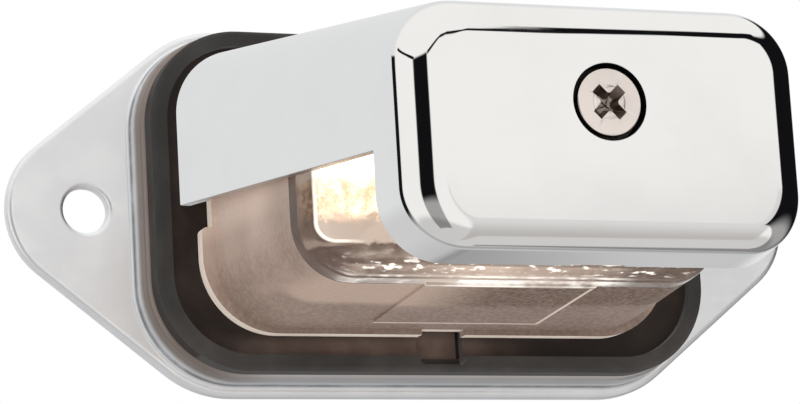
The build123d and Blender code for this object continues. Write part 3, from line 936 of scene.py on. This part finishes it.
def build_screw(steel, recess):
    """The long screw with its pan head and cross recess."""
    screw = start_piece("hood_screw_turned", steel, recess)
    turned([
        (POLE_RADIUS, SCREW_END), (SCREW_RADIUS - TIP_CHAMFER, SCREW_END),
        (SCREW_RADIUS, SCREW_END + TIP_LENGTH), (SCREW_RADIUS, HOOD_INSIDE),
        (HEAD_RADIUS - HEAD_REAR_EDGE, HOOD_INSIDE), (HEAD_RADIUS, HOOD_INSIDE + HEAD_REAR_EDGE),
        *[(HEAD_RADIUS - inward, HEAD_FRONT - back) for inward, back in HEAD_FRONT_EDGE],
        *[(radius, HEAD_FRONT - depth) for radius, depth in HEAD_CIRCLE],
        (POLE_RADIUS, HEAD_FRONT),
    ])
    bpy.ops.mesh.edge_face_add()
    choose("edges", lambda edge: edge.is_boundary)
    bpy.ops.mesh.edge_face_add()
    face_outward()
    cut_away(screw, recess_cutter(steel, recess))
    break_edges(screw, SCREW_EDGE)
    keep_flat(HEAD_FRONT)
    shade(screw, SMOOTH_ANGLE)
    settle(screw, "screw_steel", "hood_screw")


def recess_cutter(steel, recess):
    """The shape of the cross recess: four tapering arms with rounded corners between them."""
    cutter = start_piece("recess_cutter", steel, recess)
    mouth = point(0, HEAD_FRONT + RECESS_CLEAR, 0)
    bpy.ops.mesh.primitive_grid_add(
        x_subdivisions=3, y_subdivisions=3, size=RECESS_SPAN * MM, location=mouth, rotation=(pi / 2, 0, 0)
    )
    narrow = 3 * RECESS_SLOT / RECESS_SPAN
    choose("verts", lambda corner: abs(middle(corner).x) < RECESS_SPAN / 4)
    bpy.ops.transform.resize(value=(narrow, 1, 1), center_override=mouth)
    choose("verts", lambda corner: abs(middle(corner).z) < RECESS_SPAN / 4)
    bpy.ops.transform.resize(value=(1, 1, narrow), center_override=mouth)
    choose("faces", lambda face: min(abs(middle(face).x), abs(middle(face).z)) > RECESS_SLOT / 2)
    bpy.ops.mesh.delete(type="FACE")
    select_all()
    sink = point(0, -RECESS_CLEAR - RECESS_DEPTH, 0)
    bpy.ops.mesh.extrude_region_move(TRANSFORM_OT_translate={"value": sink})
    bpy.ops.transform.resize(value=(RECESS_TAPER, 1, RECESS_TAPER), center_override=mouth)

    def between_arms(edge):
        place = middle(edge)
        in_depth = HEAD_FRONT - RECESS_DEPTH < place.y < HEAD_FRONT
        return in_depth and max(abs(place.x), abs(place.z)) < RECESS_SLOT / 2

    choose("edges", between_arms)
    bpy.ops.mesh.bevel(offset=RECESS_CORNER * MM, segments=RECESS_CORNER_STEPS, affect="EDGES")
    select_all()
    give_finish(cutter, RECESS)
    bpy.ops.transform.rotate(value=pi / 4, orient_axis="Y", center_override=mouth)
    face_outward()
    return cutter


# The lens's finishes by slot.
WALLS = 0
CLEAR = 1
EDGE = 2


def build_lens(*finishes):
    """The moulded cover: grained walls, clear front and bright flange edges."""
    lens = start_piece("lens_cover")
    leave_edit()
    spare = lens.data
    lens.data = node_of["lens"].data.copy()
    lens.data.name = "lens_cover"
    lens.data.materials.clear()
    for finish in finishes:
        lens.data.materials.append(finish)
    bpy.data.meshes.remove(spare)
    bpy.ops.mesh.customdata_custom_splitnormals_clear()
    edit()
    select_all()
    bpy.ops.mesh.remove_doubles(threshold=LENS_MERGE * MM)
    bpy.ops.mesh.bisect(plane_co=point(0, LENS_CLEAR_FROM, 0), plane_no=(0, 1, 0))
    select_all()
    give_finish(lens, WALLS)
    choose("faces", lambda face: middle(face).y > LENS_CLEAR_FROM)
    give_finish(lens, CLEAR)
    choose("faces", on_flange_edge)
    give_finish(lens, EDGE)
    leave_edit()
    shade(lens, LENS_SMOOTH_ANGLE)
    settle(lens, "clear_lens", "lens")


def on_flange_edge(face):
    """Whether a face is on the flange's outer edge."""
    place = middle(face)
    outside = face.normal.x * place.x + face.normal.z * place.z > 0
    return outside and place.y < FLANGE_FRONT and abs(face.normal.y) < SIDEWAYS


def finish_nodes():
    """The solids that are shown as they are get their finishes."""
    finishes = {
        "zinc_plate": make_zinc_plate(),
        "black_rubber": make_black_rubber(),
        "post_steel": make_post_steel(),
        "socket_plastic": make_socket_plastic(),
        "contact_brass": make_contact_brass(),
        "bulb_glass": make_bulb_glass(),
        "lead_wire": make_lead_wire(),
        "filament_wire": make_filament_wire(),
    }
    for solid in node_of.values():
        for held in solid.material_slots:
            slot = held.material.name.split(".")[0]
            if slot in finishes:
                held.material = finishes[slot]
    for name in ("base_plate", "gasket"):
        node_of[name].visible_glossy = False


def place_camera():
    """The camera low in front and to the left, looking up along the lamp."""
    yaw, pitch, roll = radians(CAMERA_YAW), radians(CAMERA_PITCH), radians(CAMERA_ROLL)
    ahead = Vector((sin(yaw) * cos(pitch), cos(yaw) * cos(pitch), sin(pitch)))
    level = Vector((cos(yaw), -sin(yaw), 0))
    upward = level.cross(ahead)
    right = cos(roll) * level + sin(roll) * upward
    top = cos(roll) * upward - sin(roll) * level
    bpy.ops.object.camera_add(location=(0, 0, 0))
    camera = bpy.context.object
    camera.name = "photo_camera"
    turn = Matrix((right, top, -ahead)).transposed()
    camera.matrix_world = Matrix.Translation(CAMERA_PLACE) @ turn.to_4x4()
    camera.data.sensor_width = CAMERA_SENSOR
    camera.data.lens = CAMERA_LENS
    camera.data.clip_start = CAMERA_NEAREST
    bpy.context.scene.camera = camera


def sweep(tree, angle, low, high, to_low=0.0, to_high=1.0):
    """An angle taken smoothly from a range in degrees to another range."""
    return spread(tree, angle, radians(low), radians(high), to_low, to_high)


def card(tree, around, height, left, right, low, high, soft=2.0):
    """A mask for a panel of the studio."""
    over = strip(tree, around, radians(left), radians(right), radians(soft))
    return times(tree, over, strip(tree, height, radians(low), radians(high), radians(soft)))


def curve(tree, around, points):
    """An angle up that follows the angle round the lamp through some points."""
    inputs = {"Value": around, "From Min": radians(CURVE_LEFT), "From Max": radians(CURVE_RIGHT)}
    along = node(tree, "ShaderNodeMapRange", inputs).outputs["Result"]
    made = node(tree, "ShaderNodeFloatCurve", {"Value": along})
    line = made.mapping.curves[0]
    for place, (across, up) in enumerate(points):
        at = (across - CURVE_LEFT) / (CURVE_RIGHT - CURVE_LEFT), up / CURVE_TOP
        if place < 2:
            line.points[place].location = at
        else:
            line.points.new(*at)
        line.points[place].handle_type = "VECTOR"
    made.mapping.update()
    return times(tree, made.outputs[0], radians(CURVE_TOP))


def top_gap(tree, around, height):
    """The narrow dark gap between the front panel and the one overhead."""
    off = size_of(tree, reckon(tree, "SUBTRACT", height, curve(tree, around, TOP_GAP_PATH)))
    within = reckon(tree, "SUBTRACT", curve(tree, around, TOP_GAP_REACH), off)
    return times(tree, sweep(tree, within, -1, 1), card(tree, around, height, -22, 56, 0, 60))


def left_opening(tree, around, height):
    """The tall dark opening at the left, which leans."""
    tilted = reckon(tree, "MULTIPLY_ADD", around, -0.18, height)
    opening = card(tree, around, tilted, -60.5, -22.5, -44, 26.3)
    return times(tree, opening, sweep(tree, tilted, -6, 5, LOW_SHADE, 1.0))


def right_opening(tree, around, height):
    """The wide dark opening at the right, which slants away below."""
    edge = reckon(tree, "MULTIPLY_ADD", height, 0.93, radians(37.9))
    edge = reckon(tree, "MINIMUM", edge, radians(49))
    side = sweep(tree, reckon(tree, "SUBTRACT", around, edge), -2, 2)
    slant = reckon(tree, "MULTIPLY_ADD", around, 0.745, height)
    foot = sweep(tree, slant, 21.8, 24.8)
    opening = card(tree, around, height, 20, 138, -60, 40)
    return times(tree, side, foot, opening, sweep(tree, height, -18, -2, LOW_SHADE, 1.0))


def corner_gap(tree, around, height):
    """The fine dark seam that runs back from the left opening's top."""
    seam = reckon(tree, "MULTIPLY_ADD", around, -0.226, radians(3.1))
    off = size_of(tree, reckon(tree, "SUBTRACT", height, seam))
    return times(tree, sweep(tree, off, 2.4, 1.2), strip(tree, around, radians(-112), radians(-57), 0.02))


def rear_gap(tree, parts):
    """The dark gap behind the lamp, at its left and low down, from a direction's three parts."""
    ring = times(tree, spread(tree, parts["Y"], 0.44, 0.48), spread(tree, parts["Y"], 0.68, 0.71, 1.0, 0.0))
    below_top = spread(tree, parts["Z"], 0.31, 0.36, 1.0, 0.0)
    left_or_low = most(tree, spread(tree, parts["X"], 0.05, -0.05), spread(tree, parts["Z"], -0.40, -0.50))
    return times(tree, ring, below_top, left_or_low, spread(tree, parts["Z"], -0.60, -0.25, 0.30, 1.0))


def pale_panels(tree, parts, around, height):
    """The white front and sides, greyer low down, and the grey rear."""
    white = rgb(0.95, 0.938, 0.915)
    middle_panel = blend(tree, sweep(tree, height, 10, 12.6), rgb(0.76, 0.745, 0.73), white)
    middle_panel = blend(tree, sweep(tree, height, 8, -55), middle_panel, rgb(0.52, 0.50, 0.485))
    sides = blend(tree, sweep(tree, height, -27, -40), white, rgb(0.64, 0.625, 0.615))
    front = blend(tree, card(tree, around, height, 15, 45, -90, 16, soft=4.0), sides, middle_panel)
    low_right = times(tree, sweep(tree, height, -45, -58), sweep(tree, around, 44, 48))
    front = blend(tree, low_right, front, rgb(0.66, 0.645, 0.635))
    behind = spread(tree, parts["Y"], 0.35, 0.60)
    pale = blend(tree, behind, front, rgb(0.79, 0.795, 0.80))
    dip = times(
        tree, sweep(tree, around, 153, 157.2), sweep(tree, around, 175, 165), sweep(tree, height, -33, -20)
    )
    beneath = blend(tree, dip, rgb(0.57, 0.57, 0.575), rgb(0.32, 0.32, 0.318))
    beneath = blend(tree, spread(tree, parts["X"], 0.15, -0.35), beneath, rgb(0.66, 0.66, 0.665))
    under = spread(tree, parts["Z"], 0.0, -0.35)
    return blend(tree, times(tree, behind, under), pale, beneath)


def light_studio():
    """A white tent all round, with its dark openings and its seam seen only in reflections."""
    world = bpy.data.worlds.new("white_studio")
    bpy.context.scene.world = world
    world.use_nodes = True
    tree = world.node_tree
    background = tree.nodes["Background"]
    direction = node(tree, "ShaderNodeTexCoord").outputs["Generated"]
    parts = node(tree, "ShaderNodeSeparateXYZ", {0: direction}).outputs
    around = reckon(tree, "ARCTAN2", parts["X"], times(tree, parts["Y"], -1.0))
    height = reckon(tree, "ARCSINE", parts["Z"])
    dark = most(
        tree, left_opening(tree, around, height), corner_gap(tree, around, height),
        right_opening(tree, around, height), top_gap(tree, around, height), rear_gap(tree, parts),
    )
    room = blend(tree, dark, pale_panels(tree, parts, around, height), rgb(0.006, 0.006, 0.007))
    path = node(tree, "ShaderNodeLightPath").outputs
    mirrored = most(tree, path["Is Glossy Ray"], path["Is Transmission Ray"])
    seen = blend(tree, mirrored, rgb(0.80, 0.80, 0.80), room)
    colour = blend(tree, path["Is Camera Ray"], seen, rgb(1.0, 1.0, 1.0))
    tree.links.new(colour, background.inputs["Color"])
    background.inputs["Strength"].default_value = 1.0


def add_lamp(name, place, power):
    """A soft square lamp that isn't seen in reflections."""
    bpy.ops.object.light_add(type="AREA", location=place)
    lamp = bpy.context.object
    lamp.name = name
    lamp.data.size = LAMP_SIZE
    lamp.data.energy = power
    lamp.visible_glossy = False
    lamp.rotation_euler = (Vector(LAMP_AIM) - Vector(place)).to_track_quat("-Z", "Y").to_euler()


def add_floor():
    """A wide pale floor well below the lamp."""
    finish, tree, shader, place = new_finish("pale_floor", Roughness=0.9)
    tone = blend(tree, noise(tree, place, 3.0, 3.0), rgb(0.86, 0.86, 0.86), rgb(0.88, 0.88, 0.88))
    feed(tree, shader, Base_Color=tone)
    bpy.ops.mesh.primitive_plane_add(size=FLOOR_SIZE, location=(0, 0, FLOOR_LEVEL))
    floor = bpy.context.object
    floor.name = "floor"
    floor.data.materials.append(finish)
    floor.visible_glossy = False


build_hood(make_polished_chrome(), make_cast_chrome(), make_pocket_wall())
build_screw(make_screw_steel(), make_recess_steel())
build_lens(make_lens_walls(), make_lens_clear(), make_lens_edge())
finish_nodes()
add_floor()
place_camera()
light_studio()
add_lamp("key_lamp", (-0.5, -0.9, 0.9), 6.0)
add_lamp("side_lamp", (1.0, -0.6, 0.3), 3.0)
bpy.context.scene.view_settings.view_transform = "Standard"
